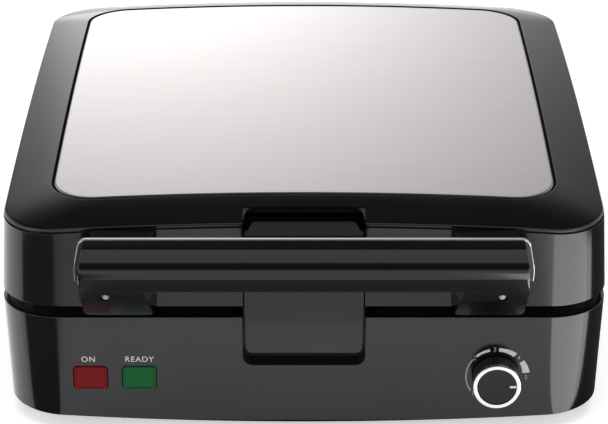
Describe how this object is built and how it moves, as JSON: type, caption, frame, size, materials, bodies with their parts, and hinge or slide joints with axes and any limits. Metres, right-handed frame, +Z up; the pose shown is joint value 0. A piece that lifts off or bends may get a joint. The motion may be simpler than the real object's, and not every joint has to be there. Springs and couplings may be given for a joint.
{
  "type": "waffle maker",
  "caption": "Square electric waffle maker: hinged lid with steel panel and front handle, rocking latch, browning knob and signal lamps.",
  "frame": {"origin": "on the table under the middle of the whole object's box", "axes": "+X to the right of a person who faces it, +Y to the back, where the hinge is, +Z up"},
  "size_m": [0.3198, 0.3908, 0.131],
  "materials": {
    "black_gloss": "glossy black moulding",
    "black_satin": "satin black moulding",
    "brushed_steel": "brushed across the width",
    "bright_trim": "satin chrome",
    "white_mark": "white mark",
    "red_lens": "translucent red moulding",
    "green_lens": "translucent green moulding",
    "coated_casting": "non-stick coated casting",
    "bare_steel": "plain steel",
    "reflector_sheet": "aluminised sheet",
    "black_rubber": "matt rubber",
    "circuit_board": "circuit board",
    "lamp_glass": "clear lamp"
  },
  "bodies": {
    "base": {"base_shell": "black_gloss", "base_bezel": "black_satin", "base_bezel_screws": "bare_steel", "bottom_cover": "black_satin", "bottom_screws": "bare_steel", "rubber_feet": "black_rubber", "lower_waffle_plate": "coated_casting", "lower_heating_element": "bare_steel", "lower_element_saddles": "bare_steel", "lower_reflector": "reflector_sheet", "thermostat_body": "black_satin", "thermostat_nut": "bare_steel", "on_lens": "red_lens", "ready_lens": "green_lens", "indicator_lamps": "lamp_glass", "lamp_board": "circuit_board", "terminal_block": "black_satin", "cord_gland": "black_rubber", "latch_keeper": "bare_steel", "hinge_pin_left": "bare_steel", "hinge_pin_right": "bare_steel"},
    "lid": {"lid_shell": "black_gloss", "lid_top_frame": "black_gloss", "steel_panel": "brushed_steel", "lid_bezel": "black_satin", "lid_bezel_screws": "bare_steel", "upper_waffle_plate": "coated_casting", "upper_heating_element": "bare_steel", "upper_element_saddles": "bare_steel", "upper_reflector": "reflector_sheet", "handle_cover": "black_gloss", "handle_trim": "bright_trim", "handle_back": "black_gloss", "handle_arm_left": "black_gloss", "handle_arm_right": "black_gloss", "handle_screws": "bare_steel", "latch_pin": "bare_steel", "latch_spring": "bare_steel"},
    "latch": {"latch_flap": "black_gloss"},
    "knob": {"control_knob": "black_satin", "knob_ring": "bright_trim", "knob_pointer": "white_mark", "thermostat_shaft": "bare_steel"},
    "lower_release": {"lower_release_tab": "black_satin"},
    "upper_release": {"upper_release_tab": "black_satin"}
  },
  "joints": [
    {"name": "lid_hinge", "type": "hinge", "parent": "base", "child": "lid", "pos_m": [0, 0.1892, 0.0698], "axis": [-1, 0, 0], "range_deg": [0, 100]},
    {"name": "latch_rock", "type": "hinge", "parent": "lid", "child": "latch", "pos_m": [0, -0.1588, 0.0949], "axis": [-1, 0, 0], "range_deg": [0, 12], "stiffness_Nm_per_rad": 0.4},
    {"name": "knob_turn", "type": "hinge", "parent": "base", "child": "knob", "pos_m": [0.1012, -0.1628, 0.0313], "axis": [0, -1, 0], "range_deg": [0, 225]},
    {"name": "lower_release_slide", "type": "slide", "parent": "base", "child": "lower_release", "axis": [0, -1, 0], "range_m": [0, 0.003], "stiffness_N_per_m": 300},
    {"name": "upper_release_slide", "type": "slide", "parent": "lid", "child": "upper_release", "axis": [0, -1, 0], "range_m": [0, 0.003], "stiffness_N_per_m": 300}
  ]
}
